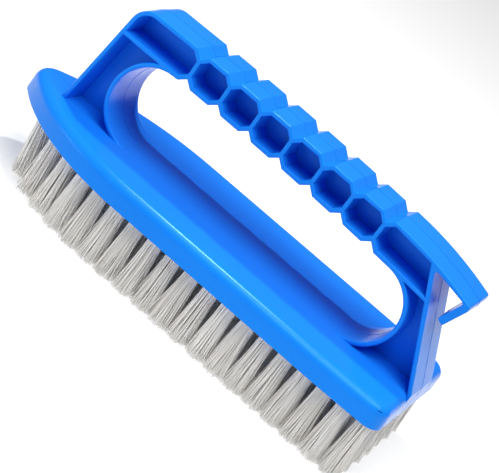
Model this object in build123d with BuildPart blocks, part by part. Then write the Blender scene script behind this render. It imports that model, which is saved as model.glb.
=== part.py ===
from build123d import *
import os
from math import cos, radians, sin, sqrt

os.makedirs("parts", exist_ok=True)

# Hand scrubbing brush: one moulded body (base, handle and hanging hook in one piece), bristle
# tufts folded over flat wire anchors, and the anchors that hold them in the drilled sockets.
# Millimetres. X runs from the nose (-X) to the stern (+X), Y across, Z up.
# The origin is on the surface that the trimmed bristles stand on, under the middle of the base.

# ---- driving dimensions -------------------------------------------------------------------
base_length = 150.0
base_width = 62.0
bristle_trim = 18.7          # free length of the bristles, so also the height of the base's underside
deck_height = 26.8           # ridge of the deck, on the mould's parting plane
deck_slope = 1.3             # degrees, from the ridge down to each side
side_draft = 2.0             # degrees, base walls
rim_radius = 3.2
nose_radius = 9.0
nose_point = -76.79          # where the nose flanks would meet if the nose weren't rounded
stern_corner_radius = 5.5
nose_flank_start = -22.0     # where the parallel sides turn into the nose flanks
stern_flank_start = 45.0     # where the sides start to close in towards the stern
stern_width = 59.4

handle_width = 21.4
wall = 1.7                   # flanges and cell walls, where they meet the web
web = 1.6                    # central web between the left and right pockets
handle_draft = 0.8           # degrees, outer walls
pocket_draft = 1.2           # degrees, pocket walls
edge_radius = 0.5            # along the outer edges of the handle
pocket_edge_radius = 0.4
foot_radius = 0.4            # lower edge of the base

cell_count = 6
cell_pitch = 11.8
cell_start = -32.0           # first notch of the finger grip
crown_x = -20.0              # highest place of the grip
crown_radius = 1136.0
grip_top = 65.05
grip_bottom = 53.3
notch_depth = 2.0
notch_run = 2.4
cell_corner_run = 2.1        # cut corners of the eight-sided pockets
cell_corner_rise = 1.9

gap_nose_x = -35.6           # centres of the round ends of the finger gap
gap_stern_x = 46.4
rib_end = 61.0               # where the grip's lower rib meets the post
front_foot = -60.9           # outer face of the front wall at the deck
front_lean = 0.1415          # how far the front wall leans back for each unit of height
front_top = 64.65            # upper end of the front wall
front_corner_radius = 6.5
foot_blend = 1.5             # radius between the deck and the front wall
foot_reach = 3.0             # how far the handle's profile reaches ahead of the wall
foot_level = deck_height - 0.3
post_foot = 74.8             # rear face of the stern post at its foot
post_lean = 0.512
hook_tip_x = 72.2            # outer lower corner of the hook's tip
hook_tip_z = 56.4
arm_lean = 0.41              # of the hook's arm, which ends free, short of the post
arm_thickness = 2.7
arm_end_z = 48.4
hook_inner_corner = 57.4     # height of the corner between the tail and the hook's arm
post_top = 59.7              # height of the corner between the tail and the post
tail_underside = 60.4        # roof of the last pocket, at the post
hook_radius = 0.6            # corners of the hook
tip_radius = 1.0

tuft_pitch = 7.08
tuft_row_pitch = 8.87
tuft_first = -56.6
tuft_last = 70.84
tuft_edge_inset = 4.5        # from the outline to the centres of the edge tufts
socket_radius = 2.7
socket_depth = 6.0
tuft_radius = 2.6
tuft_tip_radius = 3.2
edge_splay = 0.7             # how far the tips of the edge tufts stand outwards
tuft_ranks = 19
nose_lean = 2.8              # how far the foremost tufts lean back towards the middle
anchor_length = 5.9
anchor_height = 1.6
anchor_thickness = 0.4
anchor_roof = 1.2            # bristle over the anchor, at the closed end of the socket

flash = 0.06                 # height of the parting line's witness
flash_width = 0.3

nose_flank_radius = ((nose_flank_start - nose_point) ** 2 + (base_width / 2) ** 2) / base_width
half_length = base_length / 2
half_width = base_width / 2
handle_half = handle_width / 2
web_half = web / 2
sink = deck_height - 3.0     # the handle's profile goes this deep into the base
notches = [cell_start + i * cell_pitch for i in range(cell_count + 1)]


def bar_drop(x):
    """How far the slightly arched grip lies below its highest place."""
    return (x - crown_x) ** 2 / (2 * crown_radius)


def top_notch(x):
    return (x, grip_top - notch_depth - bar_drop(x))


def bottom_notch(x):
    return (x, grip_bottom + notch_depth - bar_drop(x))


def post_rear(z):
    """X of the post's rear face at height z."""
    return post_foot - post_lean * (z - deck_height)


def arm_outer(z):
    """X of the hook arm's outer face at height z."""
    return hook_tip_x - arm_lean * (hook_tip_z - z)


def front_outer(z):
    """X of the front wall's outer face at height z."""
    return front_foot + front_lean * (z - deck_height)


# horizontal thickness of the slanted walls
front_run = wall * sqrt(1 + front_lean**2)
post_run = wall * sqrt(1 + post_lean**2)
arm_run = arm_thickness * sqrt(1 + arm_lean**2)

# the arm's end is cut square to the arm
arm_inner_end = arm_outer(arm_end_z) - arm_thickness / sqrt(1 + arm_lean**2)
arm_lift = arm_lean * arm_thickness / sqrt(1 + arm_lean**2)

# round ends of the finger gap
gap_nose_top = grip_bottom - bar_drop(gap_nose_x)
gap_nose_radius = (gap_nose_top - deck_height) / 2
gap_stern_top = grip_bottom - bar_drop(gap_stern_x)
gap_stern_radius = (gap_stern_top - deck_height) / 2

# top of the grip behind the last cell, down to the hook's tip
tail_start = (notches[-1] + notch_run, grip_top - bar_drop(notches[-1] + notch_run))
tail_middle = (57.5, 61.6)
tail_end = (hook_tip_x - 0.1, 58.0)

pocket_plane = Plane.XZ.offset(web_half)

# ---- profiles -----------------------------------------------------------------------------
with BuildSketch() as base_outline:
    with BuildLine():
        Line((nose_flank_start, -half_width), (stern_flank_start, -half_width))
        TangentArc((nose_flank_start, -half_width), (nose_point, 0), tangent=(-1, 0))
        TangentArc((stern_flank_start, -half_width), (half_length, -stern_width / 2), tangent=(1, 0))
        Line((half_length, -stern_width / 2), (half_length, 0))
        mirror(about=Plane.XZ)
    make_face()
    fillet(base_outline.vertices().sort_by(Axis.X)[0], nose_radius)
    stern_corners = base_outline.vertices().group_by(Axis.X)[-1].filter_by(lambda corner: abs(corner.Y) > 1)
    fillet(stern_corners, stern_corner_radius)

# everything that the handle covers, seen from the side
with BuildSketch(Plane.XZ) as handle_outline:
    with BuildLine():
        points = [
            (front_foot - foot_reach, sink),
            (front_foot - foot_reach, foot_level),
            (front_outer(foot_level), foot_level),
            (front_outer(front_top), front_top),
            (cell_start - notch_run, grip_top - bar_drop(cell_start)),
        ]
        for x in notches[:-1]:
            points.append(top_notch(x))
            points.append((x + notch_run, grip_top - bar_drop(x + notch_run)))
            points.append((x + cell_pitch - notch_run, grip_top - bar_drop(x + cell_pitch - notch_run)))
        points.append(top_notch(notches[-1]))
        points.append(tail_start)
        Polyline(*points)
        ThreePointArc(tail_start, tail_middle, tail_end)
        Polyline(
            tail_end,
            (hook_tip_x, hook_tip_z),
            (arm_outer(arm_end_z), arm_end_z),
            (arm_inner_end, arm_end_z + arm_lift),
            (arm_outer(hook_inner_corner) - arm_run, hook_inner_corner),
            (post_rear(post_top), post_top),
            (post_rear(deck_height), deck_height),
            (post_rear(deck_height), sink),
            points[0],
        )
    make_face()
    foot = handle_outline.vertices().sort_by_distance((front_foot, deck_height))[0]
    fillet(foot, foot_blend)
    front_corner = handle_outline.vertices().sort_by_distance((front_foot, grip_top + 10))[0]
    fillet(front_corner, front_corner_radius)
    outline_corners = handle_outline.vertices()
    fillet(outline_corners.sort_by_distance(tail_end)[0], tip_radius)
    hook_corners = [
        (hook_tip_x, hook_tip_z),
        (arm_outer(arm_end_z), arm_end_z),
        (arm_inner_end, arm_end_z + arm_lift),
        (arm_outer(hook_inner_corner) - arm_run, hook_inner_corner),
        (post_rear(post_top), post_top),
    ]
    for corner in hook_corners:
        fillet(handle_outline.vertices().sort_by_distance(corner)[0], hook_radius)

# finger gap, seen from the side, open down into the base
with BuildSketch(Plane.XZ) as finger_gap:
    with BuildLine():
        points = [(gap_nose_x, gap_nose_top), (notches[0] - notch_run, grip_bottom - bar_drop(notches[0]))]
        for x in notches[:-1]:
            points.append(bottom_notch(x))
            points.append((x + notch_run, grip_bottom - bar_drop(x + notch_run)))
            points.append((x + cell_pitch - notch_run, grip_bottom - bar_drop(x + cell_pitch - notch_run)))
        points.append(bottom_notch(notches[-1]))
        points.append((notches[-1] + notch_run, grip_bottom - bar_drop(notches[-1] + notch_run)))
        points.append((gap_stern_x, gap_stern_top))
        Polyline(*points)
        ThreePointArc(
            (gap_stern_x, gap_stern_top),
            (gap_stern_x + gap_stern_radius, deck_height + gap_stern_radius),
            (gap_stern_x, deck_height),
        )
        Polyline(
            (gap_stern_x, deck_height),
            (gap_stern_x, sink),
            (gap_nose_x, sink),
            (gap_nose_x, deck_height),
        )
        ThreePointArc(
            (gap_nose_x, deck_height),
            (gap_nose_x - gap_nose_radius, deck_height + gap_nose_radius),
            (gap_nose_x, gap_nose_top),
        )
    make_face()

with BuildSketch(Plane.XZ) as clear_gap:
    add(finger_gap.sketch)
    offset(amount=-flash)


def cell_sketch(centre_x):
    """One eight-sided pocket of the finger grip."""
    inset = wall / 2
    half_run = cell_pitch / 2 - inset
    corner = cell_corner_run
    rise = cell_corner_rise
    low = grip_bottom + wall - bar_drop(centre_x)
    high = grip_top - wall - bar_drop(centre_x)
    with BuildSketch(pocket_plane) as cell:
        with BuildLine():
            Polyline(
                (centre_x - half_run, low + rise),
                (centre_x - half_run + corner, low),
                (centre_x + half_run - corner, low),
                (centre_x + half_run, low + rise),
                (centre_x + half_run, high - rise),
                (centre_x + half_run - corner, high),
                (centre_x - half_run + corner, high),
                (centre_x - half_run, high - rise),
                close=True,
            )
        make_face()
    return cell.sketch


rib_top_nose = grip_bottom + wall - bar_drop(cell_start)
first_cell_end = notches[0] - wall / 2
with BuildSketch(pocket_plane) as first_cell:
    with BuildLine():
        Polyline(
            (front_outer(rib_top_nose) + front_run, rib_top_nose),
            (first_cell_end - notch_run, rib_top_nose),
            (first_cell_end, rib_top_nose + notch_depth),
            (first_cell_end, grip_top - wall - notch_depth - bar_drop(first_cell_end)),
            (first_cell_end - notch_run, grip_top - wall - bar_drop(first_cell_end)),
            (front_outer(front_top - wall) + front_run, front_top - wall),
            close=True,
        )
    make_face()
    corner = first_cell.vertices().sort_by(Axis.X)[0:2].sort_by(Axis.Y)[-1]
    fillet(corner, front_corner_radius - wall)

last_cell_start = notches[-1] + wall / 2
rib_top_stern = grip_bottom + wall - bar_drop(rib_end)
with BuildSketch(pocket_plane) as last_cell:
    with BuildLine():
        low = grip_bottom + wall - bar_drop(last_cell_start)
        high = grip_top - wall - bar_drop(last_cell_start)
        Polyline(
            (last_cell_start, low + notch_depth),
            (last_cell_start + notch_run, low),
            (post_rear(rib_top_stern) - post_run, rib_top_stern),
            (post_rear(tail_underside) - post_run, tail_underside),
            (last_cell_start + notch_run, high),
            (last_cell_start, high - notch_depth),
            close=True,
        )
    make_face()

# triangular pockets at the two ends, between the outer wall, the rib and the round arch
with BuildSketch(pocket_plane) as nose_pocket:
    with BuildLine():
        Polyline(
            (front_outer(sink) + front_run, sink),
            (front_outer(gap_nose_top) + front_run, gap_nose_top),
            (gap_nose_x, gap_nose_top),
            (gap_nose_x, sink),
            close=True,
        )
    make_face()
    with Locations((gap_nose_x, deck_height + gap_nose_radius)):
        Circle(gap_nose_radius + wall, mode=Mode.SUBTRACT)

rib_underside_stern = grip_bottom - bar_drop(rib_end)
with BuildSketch(pocket_plane) as stern_pocket:
    with BuildLine():
        Polyline(
            (gap_stern_x, sink),
            (gap_stern_x, gap_stern_top),
            (post_rear(rib_underside_stern) - post_run, rib_underside_stern),
            (post_rear(sink) - post_run, sink),
            close=True,
        )
    make_face()
    with Locations((gap_stern_x, deck_height + gap_stern_radius)):
        Circle(gap_stern_radius + wall, mode=Mode.SUBTRACT)

cells = [cell_sketch(cell_start + (i + 0.5) * cell_pitch) for i in range(cell_count)]
pockets = [first_cell.sketch, *cells, last_cell.sketch, nose_pocket.sketch, stern_pocket.sketch]

# ---- moulded body -------------------------------------------------------------------------
# The body is symmetric about its parting plane, so its near half is made and then mirrored.
with BuildPart() as handle_side:
    extrude(handle_outline.sketch, amount=handle_half, taper=handle_draft)
    extrude(finger_gap.sketch, amount=handle_half, taper=-handle_draft, mode=Mode.SUBTRACT)
    for pocket in pockets:
        extrude(pocket, amount=handle_half - web_half, taper=-pocket_draft, mode=Mode.SUBTRACT)
    near_face = handle_side.faces().sort_by(Axis.Y)[0]
    fillet([edge for rim in near_face.inner_wires() for edge in rim.edges()], pocket_edge_radius)
    near_face = handle_side.faces().sort_by(Axis.Y)[0]
    outer_rim = near_face.outer_wire().edges()
    fillet(outer_rim.filter_by(lambda edge: edge.center().Z > deck_height + 0.3), edge_radius)

deck_normal = (0, -sin(radians(deck_slope)), cos(radians(deck_slope)))
with BuildPart() as base_side:
    with BuildSketch(Plane.XY.offset(bristle_trim)):
        add(base_outline.sketch)
    extrude(amount=deck_height - bristle_trim + 1.0, taper=side_draft)
    split(bisect_by=Plane(origin=(0, 0, deck_height), z_dir=deck_normal), keep=Keep.BOTTOM)
    split(bisect_by=Plane.XZ, keep=Keep.TOP)
    deck = base_side.faces().sort_by(Axis.Z)[-1]
    fillet(deck.edges().filter_by(lambda edge: edge.center().Y < -1.0), rim_radius)
    underside = base_side.faces().sort_by(Axis.Z)[0]
    fillet(underside.edges().filter_by(lambda edge: edge.center().Y < -1.0), foot_radius)

with BuildPart() as moulding:
    add(base_side.part)
    add(handle_side.part)
    mirror(about=Plane.XZ)

# ---- witness of the parting line ----------------------------------------------------------
with BuildSketch(Plane.XZ) as parting_profile:
    add(handle_outline.sketch)
    with BuildLine():
        Polyline(
            (-half_length + rim_radius, sink),
            (-half_length + rim_radius, deck_height),
            (gap_stern_x + gap_stern_radius, deck_height),
            (gap_stern_x + gap_stern_radius, sink),
            close=True,
        )
    make_face()
    offset(amount=flash)
    add(clear_gap.sketch, mode=Mode.SUBTRACT)
with BuildPart() as parting_line:
    extrude(parting_profile.sketch, amount=flash_width / 2, both=True)


# ---- bristles and their anchors -----------------------------------------------------------
def base_half_width(x):
    """Half the width of the base's outline at x, ahead of the stern."""
    if x >= nose_flank_start:
        return half_width
    return half_width - nose_flank_radius + sqrt(nose_flank_radius**2 - (x - nose_flank_start) ** 2)


def rank_tufts(i):
    """Root and tip centres of one rank of tufts, from side to side."""
    tip_x = tuft_first + i * tuft_pitch
    root_x = tip_x - nose_lean / (1 + i) ** 1.2
    flank = min(root_x - nose_flank_start, 0) / nose_flank_radius
    edge_y = base_half_width(root_x) - tuft_edge_inset / sqrt(1 - flank**2)
    count = round(2 * edge_y / tuft_row_pitch) + 1
    splay = edge_splay if i > 0 else -edge_splay
    tufts = []
    for k in range(count):
        side = 2 * k / (count - 1) - 1
        tufts.append(((root_x, side * edge_y), (tip_x, side * (edge_y + splay))))
    return tufts


socket_top = bristle_trim + socket_depth
anchor_z = socket_top - anchor_roof - anchor_height / 2
ranks = [rank_tufts(i) for i in range(tuft_ranks)]
roots = [root for rank in ranks for root, tip in rank]

with BuildPart() as anchor_slots:
    with Locations(*[(x, y, anchor_z) for x, y in roots]):
        Box(anchor_thickness, anchor_length, anchor_height)

with BuildPart() as brush_body:
    add(moulding.part)
    add(parting_line.part)
    with BuildSketch(Plane.XY.offset(bristle_trim)):
        with Locations(*roots):
            Circle(socket_radius)
    extrude(amount=socket_depth, mode=Mode.SUBTRACT)
    add(anchor_slots.part, mode=Mode.SUBTRACT)
brush_body.part.label = "brush_body"
export_step(brush_body.part, "parts/brush_body.step")

for i, rank in enumerate(ranks):
    with BuildPart() as tuft_rank:
        for root, tip in rank:
            with BuildSketch(Plane.XY):
                with Locations(tip):
                    Circle(tuft_tip_radius)
            with BuildSketch(Plane.XY.offset(bristle_trim)):
                with Locations(root):
                    Circle(tuft_radius)
            loft()
            with BuildSketch(Plane.XY.offset(bristle_trim)):
                with Locations(root):
                    Circle(tuft_radius)
            extrude(amount=socket_depth)
        with Locations(*[(x, y, anchor_z) for (x, y), tip in rank]):
            Box(anchor_thickness, anchor_length, anchor_height, mode=Mode.SUBTRACT)
    tuft_rank.part.label = f"tuft_rank_{i + 1:02d}"
    export_step(tuft_rank.part, f"parts/{tuft_rank.part.label}.step")

    with BuildPart() as anchor_rank:
        with Locations(*[(x, y, anchor_z) for (x, y), tip in rank]):
            Box(anchor_thickness, anchor_length, anchor_height)
    anchor_rank.part.label = f"anchor_rank_{i + 1:02d}"
    export_step(anchor_rank.part, f"parts/{anchor_rank.part.label}.step")
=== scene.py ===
import math

import bpy
import numpy as np
from mathutils import Matrix, Vector


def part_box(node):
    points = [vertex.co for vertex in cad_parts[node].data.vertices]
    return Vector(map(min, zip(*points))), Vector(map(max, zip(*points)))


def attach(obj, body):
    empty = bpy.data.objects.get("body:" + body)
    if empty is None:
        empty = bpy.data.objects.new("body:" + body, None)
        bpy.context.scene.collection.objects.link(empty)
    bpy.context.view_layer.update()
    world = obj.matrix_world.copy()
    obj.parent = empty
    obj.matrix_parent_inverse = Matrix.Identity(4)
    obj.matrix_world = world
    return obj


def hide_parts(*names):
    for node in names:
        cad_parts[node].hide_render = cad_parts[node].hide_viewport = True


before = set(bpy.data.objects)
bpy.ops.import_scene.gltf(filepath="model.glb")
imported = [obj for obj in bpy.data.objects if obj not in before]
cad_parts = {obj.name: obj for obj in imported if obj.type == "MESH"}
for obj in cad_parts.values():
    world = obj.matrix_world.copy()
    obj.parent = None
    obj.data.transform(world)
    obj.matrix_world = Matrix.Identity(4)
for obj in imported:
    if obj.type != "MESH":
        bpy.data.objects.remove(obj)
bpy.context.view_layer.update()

MM = 0.001
IMAGE_WIDTH = 499
IMAGE_HEIGHT = 473

# ---- camera -------------------------------------------------------------------------------
CAMERA_AIM = Vector((8.487, 0.0, 27.534)) * MM
CAMERA_AZIMUTH = math.radians(12.154)
CAMERA_ELEVATION = math.radians(20.318)
CAMERA_ROLL = math.radians(36.489)
CAMERA_DISTANCE = 527.0 * MM
FOCAL_PIXELS = 1800.0
AXIS_PIXEL = (251.21, 237.97)
SENSOR_MM = 36.0


def add_camera():
    az, el, roll = CAMERA_AZIMUTH, CAMERA_ELEVATION, CAMERA_ROLL
    back = Vector((math.sin(az) * math.cos(el), -math.cos(az) * math.cos(el), math.sin(el)))
    right = Vector((math.cos(az), math.sin(az), 0.0))
    up = back.cross(right)
    image_right = right * math.cos(roll) + up * math.sin(roll)
    image_up = up * math.cos(roll) - right * math.sin(roll)
    data = bpy.data.cameras.new("camera")
    data.sensor_fit = "HORIZONTAL"
    data.sensor_width = SENSOR_MM
    data.lens = FOCAL_PIXELS / IMAGE_WIDTH * SENSOR_MM
    data.shift_x = -(AXIS_PIXEL[0] - IMAGE_WIDTH / 2) / IMAGE_WIDTH
    data.shift_y = (AXIS_PIXEL[1] - IMAGE_HEIGHT / 2) / IMAGE_WIDTH
    data.clip_start = 0.01
    data.clip_end = 20.0
    camera = bpy.data.objects.new("camera", data)
    bpy.context.scene.collection.objects.link(camera)
    rotation = Matrix((image_right, image_up, back)).transposed().to_4x4()
    camera.matrix_world = Matrix.Translation(CAMERA_AIM + back * CAMERA_DISTANCE) @ rotation
    bpy.context.scene.camera = camera


add_camera()


# ---- material helpers ---------------------------------------------------------------------
def new_material(name):
    material = bpy.data.materials.new(name)
    material.use_nodes = True
    tree = material.node_tree
    shader = tree.nodes["Principled BSDF"]
    return material, tree, shader


def noise(tree, scale, detail=3.0, roughness=0.5, stretch=(1.0, 1.0, 1.0)):
    """A noise texture in object space, in metres, with its own stretch."""
    coordinates = tree.nodes.new("ShaderNodeTexCoord")
    mapping = tree.nodes.new("ShaderNodeMapping")
    mapping.inputs["Scale"].default_value = stretch
    texture = tree.nodes.new("ShaderNodeTexNoise")
    texture.inputs["Scale"].default_value = scale
    texture.inputs["Detail"].default_value = detail
    texture.inputs["Roughness"].default_value = roughness
    tree.links.new(coordinates.outputs["Object"], mapping.inputs["Vector"])
    tree.links.new(mapping.outputs["Vector"], texture.inputs["Vector"])
    return texture.outputs["Fac"]


def remap(tree, value, low, high):
    node = tree.nodes.new("ShaderNodeMapRange")
    node.inputs["From Min"].default_value = 0.3
    node.inputs["From Max"].default_value = 0.7
    node.inputs["To Min"].default_value = low
    node.inputs["To Max"].default_value = high
    tree.links.new(value, node.inputs["Value"])
    return node.outputs["Result"]


def ramp(tree, value, stops):
    node = tree.nodes.new("ShaderNodeValToRGB")
    elements = node.color_ramp.elements
    while len(elements) < len(stops):
        elements.new(0.5)
    for element, (place, colour) in zip(elements, stops):
        element.position = place
        element.color = (*colour, 1.0)
    tree.links.new(value, node.inputs["Fac"])
    return node.outputs["Color"]


def bump(tree, shader, height, distance, strength):
    node = tree.nodes.new("ShaderNodeBump")
    node.inputs["Strength"].default_value = strength
    node.inputs["Distance"].default_value = distance
    tree.links.new(height, node.inputs["Height"])
    tree.links.new(node.outputs["Normal"], shader.inputs["Normal"])


# ---- materials ----------------------------------------------------------------------------
def blue_plastic():
    """Glossy pigmented polypropylene: even colour, faint flow marks and a soft moulded surface."""
    material, tree, shader = new_material("blue_plastic")
    flow = noise(tree, 28.0, detail=2.0, stretch=(0.5, 1.0, 1.0))
    blues = [(0.30, (0.008, 0.208, 0.86)), (0.55, (0.009, 0.230, 0.91)), (0.75, (0.010, 0.246, 0.95))]
    colour = ramp(tree, flow, blues)
    tree.links.new(colour, shader.inputs["Base Color"])
    patches = noise(tree, 160.0, detail=4.0)
    tree.links.new(remap(tree, patches, 0.20, 0.26), shader.inputs["Roughness"])
    bump(tree, shader, noise(tree, 95.0, detail=2.0), 0.0004, 0.10)
    shader.inputs["Specular Tint"].default_value = (0.25, 0.75, 1.0, 1.0)
    shader.inputs["Specular IOR Level"].default_value = 0.30
    shader.inputs["IOR"].default_value = 1.45
    return material


def nylon():
    """Milky nylon monofilament, each filament with its own tone."""
    material, tree, shader = new_material("nylon_bristle")
    tone = tree.nodes.new("ShaderNodeAttribute")
    tone.attribute_name = "tone"
    mixed = tree.nodes.new("ShaderNodeMath")
    mixed.operation = "MULTIPLY_ADD"
    tree.links.new(noise(tree, 900.0, detail=2.0, stretch=(1.0, 1.0, 0.12)), mixed.inputs[0])
    mixed.inputs[1].default_value = 0.35
    tree.links.new(tone.outputs["Fac"], mixed.inputs[2])
    whites = [(0.1, (0.80, 0.77, 0.73)), (0.5, (0.92, 0.90, 0.86)), (0.95, (0.97, 0.95, 0.92))]
    colour = ramp(tree, mixed.outputs["Value"], whites)
    tree.links.new(colour, shader.inputs["Base Color"])
    tree.links.new(remap(tree, noise(tree, 2000.0), 0.28, 0.42), shader.inputs["Roughness"])
    shader.inputs["IOR"].default_value = 1.53
    shader.inputs["Subsurface Weight"].default_value = 0.35
    shader.inputs["Subsurface Radius"].default_value = (1.0, 0.9, 0.8)
    shader.inputs["Subsurface Scale"].default_value = 0.0006
    return material


def anchor_wire():
    """Flattened brass wire with drawing marks along its length."""
    material, tree, shader = new_material("anchor_wire")
    marks = noise(tree, 3000.0, detail=4.0, stretch=(1.0, 0.05, 1.0))
    colour = ramp(tree, marks, [(0.3, (0.50, 0.36, 0.14)), (0.7, (0.78, 0.60, 0.28))])
    tree.links.new(colour, shader.inputs["Base Color"])
    tree.links.new(remap(tree, marks, 0.25, 0.45), shader.inputs["Roughness"])
    shader.inputs["Metallic"].default_value = 1.0
    bump(tree, shader, marks, 0.00003, 0.3)
    return material


def assign(obj, material):
    obj.data.materials.clear()
    obj.data.materials.append(material)


blue = blue_plastic()
filament = nylon()
wire = anchor_wire()

assign(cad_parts["brush_body"], blue)
for name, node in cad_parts.items():
    if name.startswith("anchor_rank"):
        assign(node, wire)

# ---- bristles -----------------------------------------------------------------------------
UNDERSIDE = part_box("brush_body")[0].z
SOCKET_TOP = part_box("tuft_rank_10")[1].z
FOLDS = 66                   # folded filaments in one tuft, each showing two ends
FILAMENT_RADIUS = 0.155 * MM
SIDES = 5
ROOT_RADIUS = 2.36 * MM
FLARE = 1.62                 # how much wider the tuft is at its tips
CLUMPS = 10
CLUMP_PULL = 0.18
TIP_SCATTER = 0.22 * MM
STRAY_SHARE = 0.035
STRAY_REACH = 1.6 * MM
TIP_UNEVEN = 0.38 * MM
BOW = 0.16 * MM              # sideways bow of a filament half way down
FLARE_POWER = 1.35           # how late along its length a tuft opens out
FREE_STEPS = 5
FOLD_STEPS = 5
FOLD_RISE = 0.15 * MM        # of the innermost fold over its anchor
SOCKET_FILL = 0.94           # of the socket's width that the folds take up
TUFT_GAP = 1.5 * MM          # least gap between two tufts' outlines
RING_REACH = 0.02 * MM
GOLDEN_ANGLE = 2.399963
FIRST_SEED = 4100
ANCHOR_HALF = 0.25 * MM      # half the anchor's thickness, with a little room
ANCHOR_TOP = SOCKET_TOP - 1.2 * MM


def circle_centres(node, height):
    """Centres of a rank's tufts where their outline crosses a height that has its own ring of points."""
    points = np.array([v.co for v in node.data.vertices], float)
    points = points[np.abs(points[:, 2] - height) < RING_REACH]
    points = points[np.argsort(points[:, 1])]
    groups = np.split(points, np.nonzero(np.diff(points[:, 1]) > TUFT_GAP)[0] + 1)
    return [((g[:, 0].min() + g[:, 0].max()) / 2, (g[:, 1].min() + g[:, 1].max()) / 2) for g in groups]


def half_disc(count, rng):
    """Evenly spread places in the half of a unit disc with x > 0."""
    index = np.arange(count * 2) + 0.5
    radius = np.sqrt(index / (count * 2))
    angle = index * GOLDEN_ANGLE + rng.uniform(0, 6.28)
    places = np.column_stack((radius * np.cos(angle), radius * np.sin(angle)))
    places = places[np.argsort(places[:, 0])[count:]]
    return np.column_stack((np.maximum(places[:, 0], 0.04), places[:, 1]))


def leg(root, tip, offset, clump, rng):
    """Points of one leg of each fold, from the tip up to the mouth of the socket."""
    count = len(offset)
    spread = offset * ROOT_RADIUS * FLARE
    spread += (clump - spread) * CLUMP_PULL * rng.uniform(0.4, 1.0, (count, 1))
    spread += rng.normal(0, TIP_SCATTER, (count, 2))
    stray = rng.random(count) < STRAY_SHARE
    direction = rng.uniform(0, 2 * math.pi, count)
    reach = rng.uniform(0.4, 1.0, count) * STRAY_REACH * stray
    spread += np.column_stack((np.cos(direction), np.sin(direction))) * reach[:, None]
    bow = rng.normal(0, BOW, (count, 2))
    short = np.abs(rng.normal(0, TIP_UNEVEN, count)) + FILAMENT_RADIUS * 0.3
    points = []
    for k in range(FREE_STEPS + 1):
        t = k / FREE_STEPS                              # 0 at the tip, 1 at the root
        flare = (1 - t) ** FLARE_POWER
        centre = np.array(root) * t + np.array(tip) * (1 - t)
        xy = centre + offset * ROOT_RADIUS * (1 - flare) + spread * flare + bow * math.sin(math.pi * t)
        z = short + (UNDERSIDE - short) * t
        points.append(np.column_stack((xy, z)))
    return points


def fold_paths(root, tip, rng):
    """Paths of the folded filaments of one tuft: up one leg, over the anchor and down the other."""
    offset = half_disc(FOLDS, rng)
    offset[:, 0] = offset[:, 0] * 0.96 + 0.06
    other = offset * np.array((-1.0, 1.0)) + rng.normal(0, 0.03, offset.shape)
    angle = rng.uniform(0, 2 * math.pi, CLUMPS)
    distance = np.sqrt(rng.uniform(0.05, 1.0, CLUMPS)) * ROOT_RADIUS * FLARE
    clumps = np.column_stack((np.cos(angle), np.sin(angle))) * distance[:, None]

    def nearest(places):
        gap = np.linalg.norm(places[:, None, :] * ROOT_RADIUS * FLARE - clumps[None], axis=2)
        return clumps[gap.argmin(axis=1)]

    up = leg(root, tip, offset, nearest(offset), rng)
    down = leg(root, tip, other, nearest(other), rng)
    centre = np.array(root)
    over = []
    rise = FOLD_RISE + offset[:, 0] * (SOCKET_TOP - ANCHOR_TOP - 0.4 * MM)
    for k in range(FOLD_STEPS):
        turn = math.pi * k / (FOLD_STEPS - 1)
        across = np.maximum(offset[:, 0] * ROOT_RADIUS * 0.9, ANCHOR_HALF + FILAMENT_RADIUS) * math.cos(turn)
        x = centre[0] + across
        y = centre[1] + offset[:, 1] * ROOT_RADIUS * SOCKET_FILL
        z = ANCHOR_TOP + rise * math.sin(turn)
        over.append(np.column_stack((x, y, z)))
    return np.stack(up + over + down[::-1], axis=1)


def tubes(name, paths, radius, tones):
    """One mesh of round filaments along many paths with the same number of points."""
    count, steps, _ = paths.shape
    forward = np.gradient(paths, axis=1)
    forward /= np.linalg.norm(forward, axis=2, keepdims=True)
    side = np.cross(forward, np.array((0.0, 1.0, 0.0)))
    side /= np.linalg.norm(side, axis=2, keepdims=True)
    lift = np.cross(side, forward)
    turn = np.arange(SIDES) * 2 * math.pi / SIDES
    ring = side[:, :, None] * np.cos(turn)[:, None] + lift[:, :, None] * np.sin(turn)[:, None]
    points = paths[:, :, None] + ring * radius[:, None, None, None]
    start = (np.arange(count * steps) * SIDES).reshape(count, steps)
    k = np.arange(SIDES)
    after = (k + 1) % SIDES
    low, high = start[:, :-1, None], start[:, 1:, None]
    quads = np.stack((low + k, low + after, high + after, high + k), axis=-1).reshape(-1, 4)
    caps = np.concatenate((start[:, :1] + k[::-1], start[:, -1:] + k))
    mesh = bpy.data.meshes.new(name)
    mesh.from_pydata(points.reshape(-1, 3).tolist(), [], quads.tolist() + caps.tolist())
    mesh.polygons.foreach_set("use_smooth", np.r_[np.ones(len(quads), bool), np.zeros(len(caps), bool)])
    tone = mesh.attributes.new("tone", "FLOAT", "POINT")
    tone.data.foreach_set("value", np.repeat(tones, steps * SIDES).astype(np.float32))
    mesh.update()
    return mesh


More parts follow.
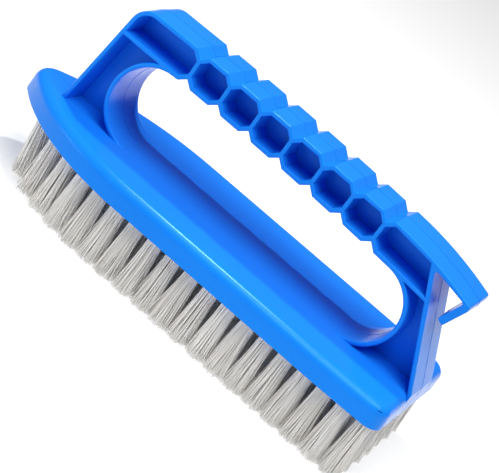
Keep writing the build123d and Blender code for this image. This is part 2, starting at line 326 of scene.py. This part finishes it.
def add_bristles():
    ranks = sorted(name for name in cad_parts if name.startswith("tuft_rank"))
    for number, rank in enumerate(ranks):
        rng = np.random.default_rng(FIRST_SEED + number)
        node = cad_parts[rank]
        roots = circle_centres(node, UNDERSIDE)
        tips = circle_centres(node, 0.0)
        paths = np.concatenate([fold_paths(root, tip, rng) for root, tip in zip(roots, tips)])
        radius = FILAMENT_RADIUS * rng.uniform(0.88, 1.1, len(paths))
        mesh = tubes(rank.replace("tuft", "bristle"), paths, radius, rng.uniform(0.0, 0.75, len(paths)))
        mesh.materials.append(filament)
        piece = bpy.data.objects.new(mesh.name, mesh)
        bpy.context.scene.collection.objects.link(piece)
        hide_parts(rank)
        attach(piece, "root")


add_bristles()


# ---- floor and light ----------------------------------------------------------------------
def add_floor():
    size = 6.0
    mesh = bpy.data.meshes.new("floor")
    corners = [(-size, -size, 0), (size, -size, 0), (size, size, 0), (-size, size, 0)]
    mesh.from_pydata([Vector(c) for c in corners], [], [(0, 1, 2, 3)])
    material, tree, shader = new_material("floor")
    shader.inputs["Base Color"].default_value = (0.58, 0.58, 0.58, 1.0)
    shader.inputs["Roughness"].default_value = 0.9
    shader.inputs["Specular IOR Level"].default_value = 0.1
    shader.inputs["Emission Color"].default_value = (1.0, 1.0, 1.0, 1.0)
    shader.inputs["Emission Strength"].default_value = 0.48
    mesh.materials.append(material)
    floor = bpy.data.objects.new("floor", mesh)
    bpy.context.scene.collection.objects.link(floor)


def add_softbox(name, place, size, power, target=(0.0, 0.0, 0.03), colour=(1.0, 1.0, 1.0)):
    data = bpy.data.lights.new(name, "AREA")
    data.shape = "RECTANGLE"
    data.size, data.size_y = size
    data.energy = power
    data.color = colour
    light = bpy.data.objects.new(name, data)
    bpy.context.scene.collection.objects.link(light)
    light.location = place
    light.rotation_euler = (Vector(place) - Vector(target)).to_track_quat("Z", "Y").to_euler()


def add_world(strength):
    world = bpy.data.worlds.new("studio")
    world.use_nodes = True
    background = world.node_tree.nodes["Background"]
    background.inputs["Color"].default_value = (1.0, 1.0, 1.0, 1.0)
    background.inputs["Strength"].default_value = strength
    bpy.context.scene.world = world


add_floor()
add_softbox("key", (-0.14, 0.11, 0.68), (0.045, 0.045), 2.6)
add_softbox("overhead", (0.14, -0.25, 0.92), (0.8, 0.6), 9.6)
add_softbox("left", (-0.70, -0.45, 0.10), (0.35, 0.16), 0.8)
add_world(0.10)

bpy.context.scene.view_settings.view_transform = "Standard"
